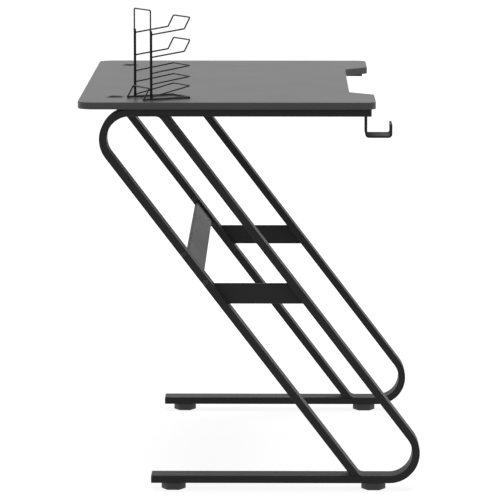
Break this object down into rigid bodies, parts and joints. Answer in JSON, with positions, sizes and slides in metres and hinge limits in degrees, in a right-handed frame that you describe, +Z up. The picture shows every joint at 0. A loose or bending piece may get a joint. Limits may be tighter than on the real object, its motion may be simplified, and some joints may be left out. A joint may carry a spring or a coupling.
{
  "type": "gaming desk",
  "caption": "Z-frame gaming desk: notched table top on two bent-tube legs, with a cross panel, a headphone hook, cable grommets, levelling glides and a wire controller rack.",
  "frame": {"origin": "on the floor, under the middle of the desk's outline", "axes": "+X along the desk to the user's right, -Y towards the user, +Z up"},
  "size_m": [0.9, 0.6535, 0.9228],
  "materials": {
    "board": "dark grey laminated board, satin",
    "edge_band": "dark grey ABS edge band, satin",
    "frame_coat": "black powder coat",
    "panel_coat": "black powder coat on sheet steel",
    "hook_coat": "matte grey powder coat",
    "rack_coat": "black coated wire",
    "black_plastic": "moulded black plastic",
    "grommet_plastic": "moulded charcoal plastic",
    "glide_plastic": "moulded dark plastic",
    "black_steel": "black oxide steel",
    "zinc_steel": "zinc plated",
    "brass_insert": "turned brass"
  },
  "bodies": {
    "desk": {"table_top": "board", "edge_band": "edge_band", "left_grommet": "grommet_plastic", "right_grommet": "grommet_plastic", "left_upper_tube": "frame_coat", "left_lower_tube": "frame_coat", "left_brace": "frame_coat", "right_upper_tube": "frame_coat", "right_lower_tube": "frame_coat", "right_brace": "frame_coat", "left_bar_cap": "black_plastic", "left_foot_cap": "black_plastic", "right_bar_cap": "black_plastic", "right_foot_cap": "black_plastic", "cross_panel": "panel_coat", "panel_bolts": "black_steel", "panel_nuts": "black_steel", "board_bolts": "black_steel", "board_inserts": "brass_insert", "foot_nuts": "zinc_steel", "headphone_hook": "hook_coat", "hook_screws": "black_steel"},
    "left_front_glide": {"left_front_glide": "glide_plastic", "left_front_stud": "zinc_steel"},
    "left_rear_glide": {"left_rear_glide": "glide_plastic", "left_rear_stud": "zinc_steel"},
    "right_front_glide": {"right_front_glide": "glide_plastic", "right_front_stud": "zinc_steel"},
    "right_rear_glide": {"right_rear_glide": "glide_plastic", "right_rear_stud": "zinc_steel"},
    "controller_rack": {"rack_left_post": "rack_coat", "rack_right_post": "rack_coat", "rack_top_loop": "rack_coat", "rack_upper_hook": "rack_coat", "rack_lower_hook": "rack_coat", "rack_top_shelf": "rack_coat", "rack_middle_shelf": "rack_coat", "rack_bottom_shelf": "rack_coat", "rack_base": "rack_coat", "rack_rear_stay": "rack_coat"}
  },
  "joints": [
    {"name": "left_front_glide_screw", "type": "slide", "parent": "desk", "child": "left_front_glide", "axis": [0, 0, -1], "range_m": [0, 0.008]},
    {"name": "left_rear_glide_screw", "type": "slide", "parent": "desk", "child": "left_rear_glide", "axis": [0, 0, -1], "range_m": [0, 0.008]},
    {"name": "right_front_glide_screw", "type": "slide", "parent": "desk", "child": "right_front_glide", "axis": [0, 0, -1], "range_m": [0, 0.008]},
    {"name": "right_rear_glide_screw", "type": "slide", "parent": "desk", "child": "right_rear_glide", "axis": [0, 0, -1], "range_m": [0, 0.008]},
    {"name": "rack_lift_off", "type": "slide", "parent": "desk", "child": "controller_rack", "axis": [0, 0, 1], "range_m": [0, 0.15]}
  ]
}
